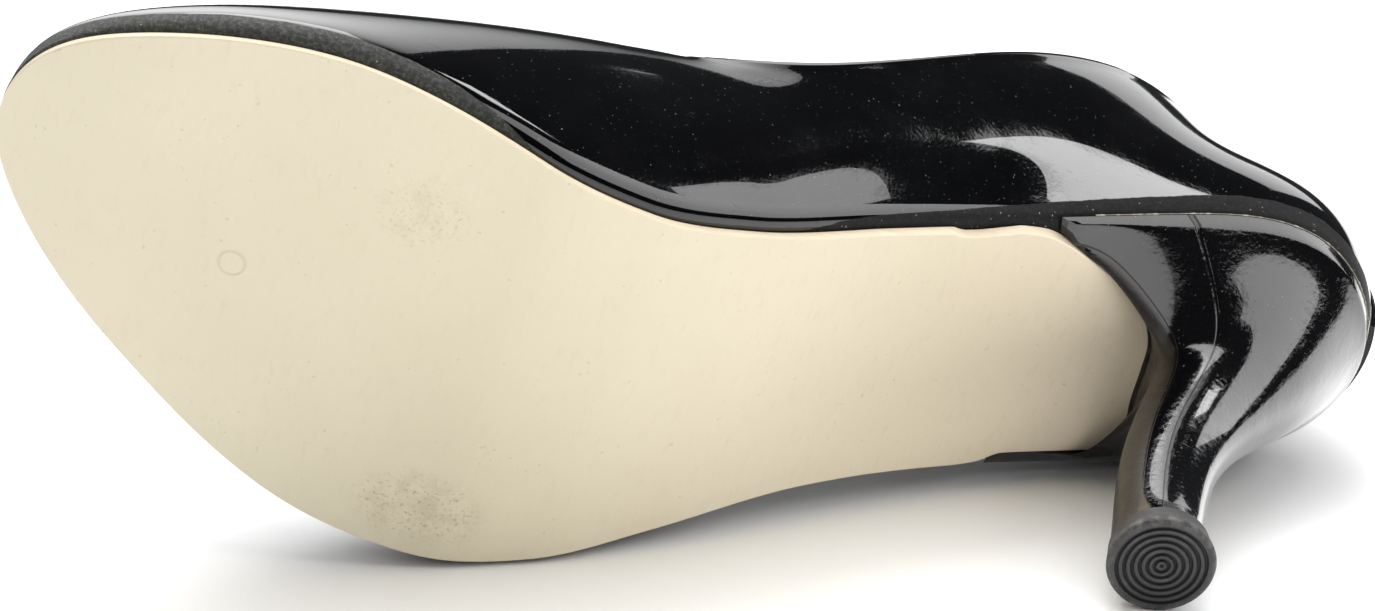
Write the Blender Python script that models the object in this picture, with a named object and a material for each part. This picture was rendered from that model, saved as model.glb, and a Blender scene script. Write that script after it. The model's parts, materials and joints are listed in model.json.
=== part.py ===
"""Right court shoe with a slim curved heel, lying on its outer side.

The shoe is modelled standing up: x runs from the back of the heel seat to the toe, y towards the
inner side of the foot, and z up from the floor. An empty then lays the whole shoe on its side.
The sizes and tables are in millimetres, and MM turns them into Blender's metres.
"""

import math

import bmesh
import bpy
import numpy as np
from mathutils import Matrix, Vector

MM = 0.001

# Driving sizes of the last and of the bottom
LENGTH = 232.0
HEEL_HEIGHT = 77.0
TOE_SPRING = 8.8
SOLE_THICK = 2.2
INSOLE_THICK = 1.8
WALL = 1.6
GAP = 0.3
BOARD_GAP = 0.4

# How the upper is lasted: turned in under the insole, and standing out past the sole by its rand
MARGIN = 9.0
INSOLE_EASE = 1.35
TURNED_EDGE = (
    # in from the edge, share of the rand, up
    (MARGIN, 0.0, 0.0),
    (3.5, 0.0, 0.0),
    (0.0, 0.0, 0.15),
    (0.0, 0.65, 1.1),
    (0.0, 1.0, 3.2),
)
WALL_ROWS = 12
LOOP_COLUMNS = 76

# The sole's outline: how far its edge lies to the inner and to the outer side of the heel's axis
OUTLINE_COLUMNS = ("station", "inner", "outer")
OUTLINE = (
    (0.00, 0.0, 0.0),
    (0.03, 15.6, -15.6),
    (0.07, 21.6, -21.9),
    (0.125, 24.0, -24.6),
    (0.18, 23.8, -24.9),
    (0.30, 22.8, -25.2),
    (0.40, 24.0, -26.4),
    (0.50, 26.6, -30.2),
    (0.60, 31.8, -35.2),
    (0.70, 39.3, -35.8),
    (0.78, 43.0, -30.6),
    (0.86, 41.2, -20.2),
    (0.93, 35.4, -8.8),
    (0.98, 27.0, 3.0),
    (1.00, 15.0, 15.0),
)

# The tread line seen from the side: a share of the heel's height, and of the toe spring
TREAD_COLUMNS = ("station", "of_heel", "of_spring")
TREAD = (
    (0.00, 1.000, 0.00),
    (0.05, 0.978, 0.00),
    (0.10, 0.935, 0.00),
    (0.20, 0.800, 0.00),
    (0.30, 0.636, 0.00),
    (0.40, 0.436, 0.00),
    (0.50, 0.202, 0.00),
    (0.58, 0.057, 0.00),
    (0.66, 0.000, 0.00),
    (0.74, 0.000, 0.00),
    (0.80, 0.000, 0.08),
    (0.90, 0.000, 0.38),
    (1.00, 0.000, 1.00),
)

# The topline, where the wall that starts at each station of the outline ends
TOPLINE_COLUMNS = ("station", "x", "inner_y", "inner_z", "outer_y", "outer_z")
TOPLINE = (
    (0.00, 3.0, 0.0, 127.0, 0.0, 127.0),
    (0.03, 8.0, 7.2, 125.4, -7.2, 125.2),
    (0.07, 17.0, 12.0, 121.6, -12.0, 121.0),
    (0.125, 30.0, 17.6, 116.4, -17.4, 115.0),
    (0.20, 46.0, 25.4, 111.4, -23.2, 108.0),
    (0.30, 68.0, 30.6, 98.2, -27.4, 93.6),
    (0.40, 88.0, 32.8, 80.6, -29.6, 76.0),
    (0.50, 106.0, 33.4, 66.4, -30.4, 62.0),
    (0.60, 121.0, 32.4, 60.0, -29.6, 56.0),
    (0.70, 133.0, 30.6, 57.6, -26.6, 53.4),
    (0.80, 142.5, 26.6, 57.2, -20.6, 53.0),
    (0.90, 149.5, 17.0, 56.4, -10.0, 54.0),
    (1.00, 152.0, 4.0, 55.6, 4.0, 55.6),
)

# The swell of the wall: a handle up from the lasted edge, and one down from the topline
SWELL_COLUMNS = ("station", "rand", "low_out", "low_up", "high_reach", "high_out", "high_down")
SWELL = (
    (0.00, 2.3, 3.6, 15.0, 0.00, 3.0, 16.0),
    (0.125, 2.3, 2.2, 15.0, 0.00, 4.5, 14.0),
    (0.30, 2.3, 4.0, 16.0, 0.00, 3.0, 14.0),
    (0.50, 2.3, 4.6, 16.0, 0.00, 3.0, 14.0),
    (0.60, 2.3, 3.4, 14.0, 0.12, 4.0, 12.0),
    (0.70, 2.1, 1.4, 10.0, 0.30, 3.5, 9.0),
    (0.80, 1.7, 0.6, 8.0, 0.42, 1.0, 9.0),
    (0.90, 1.4, 0.6, 7.5, 0.50, 0.0, 11.0),
    (1.00, 0.9, -1.0, 6.0, 0.54, 0.0, 15.0),
)

# The strip over the seam at the back of the upper
STRIP_HALF_LOW = 7.0
STRIP_HALF_HIGH = 5.5
STRIP_THICK = 0.9
STRIP_COLUMNS = 8
STRIP_FIRST_ROW = 3

# The rear end of the sole, a flap that tapers over the front of the heel and curls at its end
FLAP_COLUMNS = ("x", "inner_in", "outer_in")
FLAP = (
    (34.6, 43.4, 4.6),
    (36.2, 40.4, 3.6),
    (37.6, 35.0, 3.0),
    (38.2, 29.0, 2.9),
    (38.7, 24.3, 2.8),
    (40.5, 19.9, 2.6),
    (44.3, 15.1, 2.4),
    (49.1, 10.7, 2.3),
    (57.0, 5.5, 2.2),
    (61.5, 2.8, 0.5),
    (66.0, 0.8, 0.05),
    (71.0, 0.0, 0.0),
)
FLAP_STATIONS = (
    34.6, 35.4, 36.2, 36.9, 37.3, 37.6, 37.8, 38.0, 38.2, 38.45, 38.7, 39.1, 39.7, 40.5,
    42.2, 44.3, 46.7, 49.1, 53.0, 57.0, 59.2, 61.5, 66.0,
)
FLAP_BEND = 43.0
FLAP_DROP = 2.6
FLAP_SLANT = 1.5
FLAP_GAP = 0.5
TOE_BLUNT = 0.03

# The heel: a cup under the seat with a wing on each side, then sections down to the lift
CUP_COLUMNS = ("out", "side_in", "drop", "inner_wing", "outer_wing", "back_off")
CUP = (
    (1.4, 0.0, 0.0, 64.0, 59.0, 0.0),
    (1.0, 0.6, 2.2, 60.0, 52.0, 0.5),
    (-0.8, 2.2, 5.6, 52.5, 42.0, 1.6),
)
HEEL_COLUMNS = ("front_x", "back_x", "front_z", "back_z", "inner", "outer")
HEEL = (
    (38.4, 5.2, 57.0, 65.0, 16.2, 16.0),
    (39.8, 11.4, 51.0, 56.4, 12.0, 11.8),
    (42.4, 18.4, 44.0, 47.6, 9.4, 9.2),
    (44.8, 25.2, 35.5, 37.8, 7.9, 7.9),
    (47.0, 30.4, 25.5, 26.8, 7.2, 7.3),
    (48.4, 32.6, 14.8, 15.4, 7.1, 7.2),
    (49.5, 34.1, 4.9, 4.9, 7.7, 7.7),
)
LOOP_STEPS = 3
HEEL_SIDE_POINTS = 31
HEEL_FRONT_POINTS = 33
HEEL_CORNER = 42.0
HEEL_SMOOTHING = 6

# The lift, a round rubber tip that widens to the floor
LIFT_X = 41.8
LIFT_Y = -1.0
LIFT_RADIUS = 8.6
LIFT_NECK_RADIUS = 8.0
LIFT_THICK = 4.6
LIFT_EDGE = 0.5
LIFT_SIDES = 48

# Weights that settle how the shoe lies, in kilograms per cubic metre
DENSITY = {
    "upper": 950.0,
    "back_strip": 950.0,
    "insole": 750.0,
    "outsole": 1000.0,
    "heel": 1050.0,
    "top_lift": 1150.0,
}
SIDE_FACING = 0.75


def column(table, names, name):
    """One named column of a table, as an array."""
    return np.array([row[names.index(name)] for row in table], float)


def smooth_curve(knots, values):
    """A curve through the rows of a table that never overshoots them."""
    steps = np.diff(knots)
    slopes = np.diff(values) / steps
    tangents = np.concatenate([slopes[:1], np.zeros(len(slopes) - 1), slopes[-1:]])
    before, after = slopes[:-1], slopes[1:]
    same_way = before * after > 0
    tangents[1:-1][same_way] = 2 * (before * after)[same_way] / (before + after)[same_way]

    def at(place):
        place = np.asarray(place, float)
        inside = np.clip(place, knots[0], knots[-1])
        i = np.clip(np.searchsorted(knots, inside, side="right") - 1, 0, len(steps) - 1)
        u = (inside - knots[i]) / steps[i]
        hermite = (
            values[i] * (1 + 2 * u) * (1 - u) ** 2
            + tangents[i] * steps[i] * u * (1 - u) ** 2
            + values[i + 1] * u**2 * (3 - 2 * u)
            + tangents[i + 1] * steps[i] * u**2 * (u - 1)
        )
        end = np.where(place < knots[0], tangents[0], tangents[-1])
        return hermite + end * (place - inside)

    return at


def loop_curve(knots, values, period):
    """A closed cubic spline through the knots of a loop."""
    steps = np.diff(np.append(knots, knots[0] + period))
    ahead = np.roll(values, -1)
    rates = (ahead - values) / steps
    count = len(knots)
    system = np.zeros((count, count))
    right = np.zeros(count)
    for i in range(count):
        system[i, i - 1] += steps[i - 1]
        system[i, i] += 2 * (steps[i - 1] + steps[i])
        system[i, (i + 1) % count] += steps[i]
        right[i] = 6 * (rates[i] - rates[i - 1])
    bends = np.linalg.solve(system, right)

    def at(place):
        place = np.mod(np.asarray(place, float), period)
        i = np.searchsorted(knots, place, side="right") - 1
        j = (i + 1) % count
        u = place - knots[i]
        h = steps[i]
        slope = rates[i] - h * (2 * bends[i] + bends[j]) / 6
        return values[i] + u * (slope + u * (bends[i] / 2 + u * (bends[j] - bends[i]) / (6 * h)))

    return at


def loop_table(table, names, inner, outer):
    """A closed curve round the shoe: up the inner side from heel to toe, and back down the outer."""
    turns = np.arccos(1 - 2 * column(table, names, "station"))
    knots = np.concatenate([turns, 2 * math.pi - turns[-2:0:-1]])
    values = np.concatenate([column(table, names, inner), column(table, names, outer)[-2:0:-1]])
    return loop_curve(knots, values, 2 * math.pi)


outline_y = loop_table(OUTLINE, OUTLINE_COLUMNS, "inner", "outer")
topline_x = loop_table(TOPLINE, TOPLINE_COLUMNS, "x", "x")
topline_y = loop_table(TOPLINE, TOPLINE_COLUMNS, "inner_y", "outer_y")
topline_z = loop_table(TOPLINE, TOPLINE_COLUMNS, "inner_z", "outer_z")
swell = {name: loop_table(SWELL, SWELL_COLUMNS, name, name) for name in SWELL_COLUMNS[1:]}
flap_inner = smooth_curve(column(FLAP, FLAP_COLUMNS, "x"), column(FLAP, FLAP_COLUMNS, "inner_in"))
flap_outer = smooth_curve(column(FLAP, FLAP_COLUMNS, "x"), column(FLAP, FLAP_COLUMNS, "outer_in"))
tread_share = smooth_curve(
    column(TREAD, TREAD_COLUMNS, "station"),
    HEEL_HEIGHT * column(TREAD, TREAD_COLUMNS, "of_heel")
    + TOE_SPRING * column(TREAD, TREAD_COLUMNS, "of_spring"),
)


def tread_z(x):
    """Height of the sole's underside over the floor."""
    return tread_share(np.asarray(x, float) / LENGTH)


def steep(x):
    """How much taller than its thickness a layer stands where the tread line slopes."""
    return np.hypot(1, (tread_z(x + 0.1) - tread_z(x - 0.1)) / 0.2)


def turn_of(x):
    """The loop's turn on the inner side at a place along the shoe."""
    return np.arccos(np.clip(1 - 2 * np.asarray(x, float) / LENGTH, -1, 1))


def outline(turn, out=0.0):
    """Points of the sole's outline in plan, moved outwards, with their outward directions."""
    turn = np.asarray(turn, float)
    small = 1e-4

    def plan(t):
        return np.stack([LENGTH * (1 - np.cos(t)) / 2, outline_y(t)], axis=-1)

    along = plan(turn + small) - plan(turn - small)
    normal = np.stack([-along[..., 1], along[..., 0]], axis=-1)
    normal /= np.linalg.norm(normal, axis=-1, keepdims=True)
    return plan(turn) + np.asarray(out)[..., None] * normal, normal


def upper_base_z(x):
    """Height of the underside of the upper, just over the sole and the heel."""
    return tread_z(x) + (SOLE_THICK + GAP) * steep(x)


def wall_section(turn):
    """The upper's outer face at one turn of the loop, from the turned-in edge up to the topline."""
    points = []
    for in_from_edge, of_rand, up in TURNED_EDGE:
        plan, normal = outline(turn, of_rand * swell["rand"](turn) - in_from_edge)
        points.append([plan[0], plan[1], upper_base_z(plan[0]) + up])
    foot = np.array(points[-1])
    top = np.array([topline_x(turn), topline_y(turn), topline_z(turn)])
    outward = np.array([normal[0], normal[1], 0.0])
    upward = np.array([0.0, 0.0, 1.0])
    level = np.array([1.0, 1.0, 0.0])
    low = foot + swell["low_out"](turn) * outward + swell["low_up"](turn) * upward
    high = top + swell["high_reach"](turn) * (foot - top) * level
    high = high + swell["high_out"](turn) * outward - swell["high_down"](turn) * upward
    for row in range(1, WALL_ROWS + 1):
        u = row / WALL_ROWS
        points.append(
            foot * (1 - u) ** 3 + low * 3 * u * (1 - u) ** 2 + high * 3 * u**2 * (1 - u) + top * u**3
        )
    return np.array(points)


def material(name, colour, roughness, coat=0.0):
    """A plain finish for one piece."""
    made = bpy.data.materials.new(name)
    made.use_nodes = True
    shader = made.node_tree.nodes["Principled BSDF"]
    shader.inputs["Base Color"].default_value = (*colour, 1.0)
    shader.inputs["Roughness"].default_value = roughness
    shader.inputs["Coat Weight"].default_value = coat
    made.diffuse_color = (*colour, 1.0)
    return made


def piece(name, points, faces, finish):
    """A named object from points in millimetres, smooth but for its sharp edges."""
    mesh = bpy.data.meshes.new(name)
    mesh.from_pydata([tuple(MM * c for c in p) for p in points], [], faces)
    shaped = bmesh.new()
    shaped.from_mesh(mesh)
    bmesh.ops.recalc_face_normals(shaped, faces=shaped.faces)
    shaped.to_mesh(mesh)
    shaped.free()
    mesh.shade_smooth()
    mesh.set_sharp_from_angle(angle=math.radians(40))
    mesh.materials.append(finish)
    obj = bpy.data.objects.new(name, mesh)
    bpy.context.scene.collection.objects.link(obj)
    return obj


def band_faces(rows, columns, closed_columns=False):
    """Quads over a grid of points that is stored row by row."""
    faces = []
    for r in range(rows - 1):
        for c in range(columns if closed_columns else columns - 1):
            right, up = (c + 1) % columns, r + 1
            faces.append((r * columns + c, r * columns + right, up * columns + right, up * columns + c))
    return faces


def make_upper(finish):
    """One sheet from the turned-in edge round the foot to the topline, given its thickness inwards."""
    turns = [2 * math.pi * i / LOOP_COLUMNS for i in range(LOOP_COLUMNS)]
    sections = np.array([wall_section(t) for t in turns])
    rows = sections.shape[1]
    points = sections.transpose(1, 0, 2).reshape(-1, 3)
    obj = piece("upper", points, band_faces(rows, LOOP_COLUMNS, closed_columns=True), finish)
    thickness = obj.modifiers.new("wall", "SOLIDIFY")
    thickness.thickness = WALL * MM
    thickness.offset = -1
    thickness.use_even_offset = True
    thickness.use_rim = True
    return obj


def make_back_strip(finish):
    """A strip cut from the upper's own face over the seam at the back, and set just outside it."""
    rows = len(TURNED_EDGE) + WALL_ROWS - STRIP_FIRST_ROW
    grid = np.zeros((rows, STRIP_COLUMNS + 1, 3))
    for r in range(rows):
        half = STRIP_HALF_LOW + (STRIP_HALF_HIGH - STRIP_HALF_LOW) * r / (rows - 1)
        for c in range(STRIP_COLUMNS + 1):
            side = half * (2 * c / STRIP_COLUMNS - 1)
            grid[r, c] = point_at_side(r + STRIP_FIRST_ROW, side)
    across = np.gradient(grid, axis=1)
    along = np.gradient(grid, axis=0)
    normal = np.cross(across, along)
    normal /= np.linalg.norm(normal, axis=2, keepdims=True)
    normal *= -np.sign(normal[rows // 2, STRIP_COLUMNS // 2, 0])
    inside = (grid + GAP * normal).reshape(-1, 3)
    outside = (grid + (GAP + STRIP_THICK) * normal).reshape(-1, 3)
    columns = STRIP_COLUMNS + 1
    count = rows * columns
    faces = [f[::-1] for f in band_faces(rows, columns)]
    faces += [tuple(i + count for i in f) for f in band_faces(rows, columns)]
    rim = list(range(columns)) + [r * columns + columns - 1 for r in range(1, rows)]
    rim += [(rows - 1) * columns + c for c in range(columns - 2, -1, -1)]
    rim += [r * columns for r in range(rows - 2, 0, -1)]
    for a, b in zip(rim, rim[1:] + rim[:1]):
        faces.append((a, b, b + count, a + count))
    return piece("back_strip", np.concatenate([inside, outside]), faces, finish)


def point_at_side(row, side):
    """The point of the upper's outer face at a row of its wall that lies this far to one side."""
    low, high = -0.9, 0.9
    for _ in range(40):
        middle = (low + high) / 2
        if wall_section(middle)[row][1] < side:
            low = middle
        else:
            high = middle
    return wall_section((low + high) / 2)[row]


def plate(name, stations, inner, outer, under, over, finish, back=0.0):
    """A thin plate from cross lines between its edges, its upper face set back by `back`."""
    points = []
    for places, heights in ((stations, under), (stations - back, over)):
        points += [(x, y, z) for x, y, z in zip(places, outer, heights)]
        points += [(x, y, z) for x, y, z in zip(places, inner, heights)]
    count = len(stations)
    out_low, in_low, out_high, in_high = (np.arange(count) + k * count for k in range(4))
    faces = []
    for i in range(count - 1):
        j = i + 1
        faces.append((out_low[i], in_low[i], in_low[j], out_low[j]))
        faces.append((out_high[i], out_high[j], in_high[j], in_high[i]))
        faces.append((out_low[i], out_low[j], out_high[j], out_high[i]))
        faces.append((in_low[i], in_high[i], in_high[j], in_low[j]))
    for i in (0, count - 1):
        faces.append((out_low[i], out_high[i], in_high[i], in_low[i]))
    obj = piece(name, points, [tuple(int(v) for v in f) for f in faces], finish)
    return obj


def curl(x):
    """0 in front of the place where the flap bends, rising to 1 at its end."""
    return np.clip((FLAP_BEND - np.asarray(x, float)) / (FLAP_BEND - FLAP_STATIONS[0]), 0, 1)


def sole_z(x):
    """Underside of the sole: the tread line, with the flap bent down along the heel."""
    return tread_z(x) - FLAP_DROP * curl(x) ** 2


def sole_edges(x):
    """Inner and outer edge of the sole, drawn in along the flap."""
    turn = turn_of(x)
    inside = np.minimum(x, FLAP[-1][0])
    return outline_y(turn) - flap_inner(inside), outline_y(2 * math.pi - turn) + flap_outer(inside)


def make_outsole(finish):
    """The thin flat-sectioned sole, from the flap to a blunt last cross line at the toe."""
    turns = np.linspace(turn_of(FLAP[-1][0]), math.pi, 34)[:-1]
    stations = np.concatenate([FLAP_STATIONS, LENGTH * (1 - np.cos(turns)) / 2, [LENGTH - TOE_BLUNT]])
    inner, outer = sole_edges(stations)
    under = sole_z(stations)
    over = under + SOLE_THICK * steep(stations)
    return plate("outsole", stations, inner, outer, under, over, finish, FLAP_SLANT * curl(stations))


def make_insole(finish):
    """The board inside the upper, on its turned-in edge, from the back of the seat to the toe."""
    turns = 2 * math.pi * np.arange(1, LOOP_COLUMNS // 2) / LOOP_COLUMNS
    inner, _ = outline(turns, swell["rand"](turns) - WALL - INSOLE_EASE)
    outer, _ = outline(2 * math.pi - turns, swell["rand"](turns) - WALL - INSOLE_EASE)
    stations = (inner[:, 0] + outer[:, 0]) / 2
    under = upper_base_z(stations) + (WALL + BOARD_GAP) * steep(stations)
    over = under + INSOLE_THICK * steep(stations)
    return plate("insole", stations, inner[:, 1], outer[:, 1], under, over, finish)


def flap_line(inner_wing, outer_wing, shares):
    """The line along the sole's rear end, from its outer to its inner side, just clear of it."""
    outer_x = np.array([x for x in FLAP_STATIONS if x < outer_wing] + [outer_wing])[::-1]
    inner_x = np.array([x for x in FLAP_STATIONS if x < inner_wing] + [inner_wing])
    both_x = np.concatenate([outer_x, inner_x])
    xs = both_x - FLAP_SLANT * curl(both_x) - FLAP_GAP
    ys = np.concatenate([sole_edges(outer_x)[1] - FLAP_GAP, sole_edges(inner_x)[0] + FLAP_GAP])
    length = np.concatenate([[0], np.cumsum(np.hypot(np.diff(xs), np.diff(ys)))])
    return np.interp(shares * length[-1], length, xs), np.interp(shares * length[-1], length, ys)


def cup_loop(out, side_in, drop, inner_wing, outer_wing, back_off):
    """A loop of the heel's cup: the seat's outline to the tips of the wings, and the flap's end."""
    turns = np.linspace(turn_of(inner_wing), -turn_of(outer_wing), HEEL_SIDE_POINTS)
    narrow = np.clip(outline(turns)[0][:, 0] / 25, 0, 1)
    side, _ = outline(turns, out - side_in * narrow)
    shares = (np.arange(HEEL_FRONT_POINTS) + 1) / (HEEL_FRONT_POINTS + 1)
    front_x, front_y = flap_line(inner_wing, outer_wing, shares)
    front = np.stack([front_x - back_off * (1 + np.sin(math.pi * shares)), front_y], axis=1)
    plan = np.concatenate([side, front])
    wing = np.clip((plan[:, 0] - 25) / 40, 0, 1)
    seat = tread_z(plan[:, 0]) + SOLE_THICK * steep(plan[:, 0])
    height = seat - drop * (1 - 0.5 * wing)
    return np.column_stack([plan, height])


def section_loop(front_x, back_x, front_z, back_z, inner, outer):
    """A rounded section of the heel, on a plane that tips forward with the seat."""
    corner = math.radians(HEEL_CORNER)
    side = np.linspace(corner, 2 * math.pi - corner, HEEL_SIDE_POINTS)
    shares = (np.arange(HEEL_FRONT_POINTS) + 1) / (HEEL_FRONT_POINTS + 1)
    turns = np.concatenate([side, 2 * math.pi - corner + 2 * corner * shares])
    across = np.sin(turns)
    x = (front_x + back_x) / 2 + (front_x - back_x) / 2 * np.cos(turns)
    y = np.where(across > 0, inner, outer) * across
    z = back_z + (front_z - back_z) * (x - back_x) / (front_x - back_x)
    lean = LIFT_Y * (HEEL_HEIGHT - z) / HEEL_HEIGHT
    return np.column_stack([x, y + lean, z])


def make_heel(finish):
    """The covered heel: smooth lines drawn down through its loops, from the seat to the lift."""
    cup = [cup_loop(**dict(zip(CUP_COLUMNS, row))) for row in CUP]
    sections = [section_loop(**dict(zip(HEEL_COLUMNS, row))) for row in HEEL]
    loops = np.array(cup + sections)
    levels = np.arange(len(loops), dtype=float)
    rows = np.linspace(0, len(loops) - 1, (len(loops) - 1) * LOOP_STEPS + 1)
    columns = loops.shape[1]
    skin = np.zeros((len(rows), columns, 3))
    for c in range(columns):
        for axis in range(3):
            skin[:, c, axis] = smooth_curve(levels, loops[:, c, axis])(rows)
    for _ in range(HEEL_SMOOTHING):
        around = (np.roll(skin, 1, axis=1) + np.roll(skin, -1, axis=1)) / 2
        down = (skin[LOOP_STEPS - 1 : -2] + skin[LOOP_STEPS + 1 :]) / 2
        skin[LOOP_STEPS:-1] = (2 * skin[LOOP_STEPS:-1] + around[LOOP_STEPS:-1] + down) / 4
    faces = band_faces(len(rows), columns, closed_columns=True)
    faces.append(tuple(range(columns)))
    faces.append(tuple((len(rows) - 1) * columns + c for c in range(columns)))
    return piece("heel", skin.reshape(-1, 3), faces, finish)


def make_top_lift(finish):
    """The lift, turned about its own axis, with a flat tread on the floor."""
    profile = (
        (LIFT_NECK_RADIUS, LIFT_THICK),
        (LIFT_RADIUS - 0.1, LIFT_EDGE * 2),
        (LIFT_RADIUS, LIFT_EDGE),
        (LIFT_RADIUS - LIFT_EDGE, 0.0),
    )
    points = []
    for radius, height in profile:
        for i in range(LIFT_SIDES):
            turn = 2 * math.pi * i / LIFT_SIDES
            points.append((LIFT_X + radius * math.cos(turn), LIFT_Y + radius * math.sin(turn), height))
    faces = band_faces(len(profile), LIFT_SIDES, closed_columns=True)
    faces.append(tuple(range(LIFT_SIDES)))
    faces.append(tuple((len(profile) - 1) * LIFT_SIDES + i for i in range(LIFT_SIDES)))
    return piece("top_lift", points, faces, finish)


def weigh(pieces):
    """All the corners of the pieces, and the place of their common centre of weight."""
    graph = bpy.context.evaluated_depsgraph_get()
    corners = []
    weight = 0.0
    moment = Vector()
    for obj in pieces:
        shaped = bmesh.new()
        shaped.from_object(obj, graph)
        bmesh.ops.triangulate(shaped, faces=shaped.faces)
        for face in shaped.faces:
            a, b, c = (v.co for v in face.verts)
            share = DENSITY[obj.name] * a.dot(b.cross(c)) / 6
            weight += share
            moment += share * (a + b + c) / 4
        corners += [v.co.copy() for v in shaped.verts]
        shaped.free()
    return corners, moment / weight


def holds(face, centre):
    """Whether the centre of weight stands over this face of the hull."""
    corners = [v.co for v in face.verts]
    for a, b in zip(corners, corners[1:] + corners[:1]):
        if (b - a).cross(centre - a).dot(face.normal) < 0:
            return False
    return True


def lying_matrix(pieces):
    """Turn the shoe so that it lies on its outer side, toe towards -X and sole towards -Y."""
    corners, centre = weigh(pieces)
    hull = bmesh.new()
    for corner in corners:
        hull.verts.new(corner)
    bmesh.ops.convex_hull(hull, input=hull.verts)
    bmesh.ops.delete(hull, geom=[v for v in hull.verts if not v.link_faces], context="VERTS")
    bmesh.ops.recalc_face_normals(hull, faces=hull.faces)
    hull.normal_update()
    floor = next(f for f in hull.faces if f.normal.y < -SIDE_FACING and holds(f, centre))
    up = -floor.normal
    toe = Vector((1, 0, 0))
    right = -(toe - toe.dot(up) * up).normalized()
    turn = Matrix((right, up.cross(right), up))
    hull.free()
    laid = np.array([turn @ corner for corner in corners])
    low, high = laid.min(axis=0), laid.max(axis=0)
    move = Vector((-(low[0] + high[0]) / 2, -(low[1] + high[1]) / 2, -low[2]))
    return Matrix.Translation(move) @ turn.to_4x4()


def build():
    """Make every piece standing up, then lay them all down through one empty."""
    for old in list(bpy.data.objects):
        bpy.data.objects.remove(old)
    patent = material("black_patent", (0.012, 0.012, 0.014), 0.12, 1.0)
    cover = material("heel_cover", (0.012, 0.012, 0.014), 0.15, 1.0)
    strip = material("strip_patent", (0.012, 0.012, 0.014), 0.15, 1.0)
    cream = material("cream_leather", (0.74, 0.66, 0.50), 0.5)
    board = material("tan_board", (0.45, 0.33, 0.22), 0.7)
    rubber = material("grey_rubber", (0.045, 0.045, 0.045), 0.6)
    pieces = [
        make_upper(patent),
        make_back_strip(strip),
        make_insole(board),
        make_outsole(cream),
        make_heel(cover),
        make_top_lift(rubber),
    ]
    lying = bpy.data.objects.new("lying", None)
    bpy.context.scene.collection.objects.link(lying)
    for obj in pieces:
        obj.parent = lying
    lying.matrix_world = lying_matrix(pieces)


build()
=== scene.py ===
# %% [markdown]
# # Dressing a patent court shoe
#
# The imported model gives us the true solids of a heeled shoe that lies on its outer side. In this lesson we
# give each solid a finer skin and a material that looks like the real thing: patent leather, sole leather,
# a covered heel and a rubber tip. Every skin is drawn from short tables, much like those of the solid under it.

import json
import math

import bmesh
import bpy
import numpy as np
from mathutils import Matrix, Vector


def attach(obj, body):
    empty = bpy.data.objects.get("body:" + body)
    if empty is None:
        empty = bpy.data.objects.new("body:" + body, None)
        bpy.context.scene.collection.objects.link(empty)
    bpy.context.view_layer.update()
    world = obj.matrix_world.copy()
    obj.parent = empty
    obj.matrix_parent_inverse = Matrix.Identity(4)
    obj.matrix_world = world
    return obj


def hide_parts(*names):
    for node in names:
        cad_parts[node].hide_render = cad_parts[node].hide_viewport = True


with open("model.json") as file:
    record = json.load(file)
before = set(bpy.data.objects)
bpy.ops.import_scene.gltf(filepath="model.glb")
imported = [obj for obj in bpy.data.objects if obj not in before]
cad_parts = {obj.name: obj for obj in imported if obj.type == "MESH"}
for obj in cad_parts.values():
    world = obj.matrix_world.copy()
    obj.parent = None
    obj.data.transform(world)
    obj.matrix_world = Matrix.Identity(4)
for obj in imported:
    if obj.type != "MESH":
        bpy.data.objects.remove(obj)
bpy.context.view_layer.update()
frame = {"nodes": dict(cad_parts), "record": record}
print("nodes:", sorted(frame["nodes"]))

# %% [markdown]
# ## Standing up the coordinates
#
# It is easier to think about a shoe that stands: x from the back of the heel to the toe, y towards the inner
# side, z up. Two flat faces of the model, the heel tip and the forefoot, lie on the floor of that standing
# shoe, so together they tell us how it was laid down. `LAY` takes standing points to where the shoe lies.

# %% The matrix that lays the shoe down
TIP_PLACE = (0.0418, -0.0010)
BALL_PLACE = (0.1620, 0.0010)
mounts = {mount["name"]: mount for mount in frame["record"]["mounts"]}
tip = Vector(mounts["tip_tread"]["pos_m"])
ball = Vector(mounts["forefoot_tread"]["pos_m"])
up = -Vector(mounts["tip_tread"]["axis"]).normalized()
between = ball - tip
swing = math.atan2(BALL_PLACE[1] - TIP_PLACE[1], BALL_PLACE[0] - TIP_PLACE[0])
toe = Matrix.Rotation(-swing, 3, up) @ (between - between.dot(up) * up).normalized()
inner = up.cross(toe)
LAY = Matrix((toe, inner, up)).transposed().to_4x4()
LAY.translation = tip - TIP_PLACE[0] * toe - TIP_PLACE[1] * inner
print("the standing shoe's upward direction now points to", [round(c, 2) for c in up])

# %% [markdown]
# ## Curves from tables
#
# Two kinds of curve are enough for the whole shoe. One runs through the rows of a table without overshooting
# them, and suits heights. The other closes on itself, and suits outlines. A loop starts at the heel, goes up
# the inner side to the toe, and comes back down the outer side.

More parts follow.
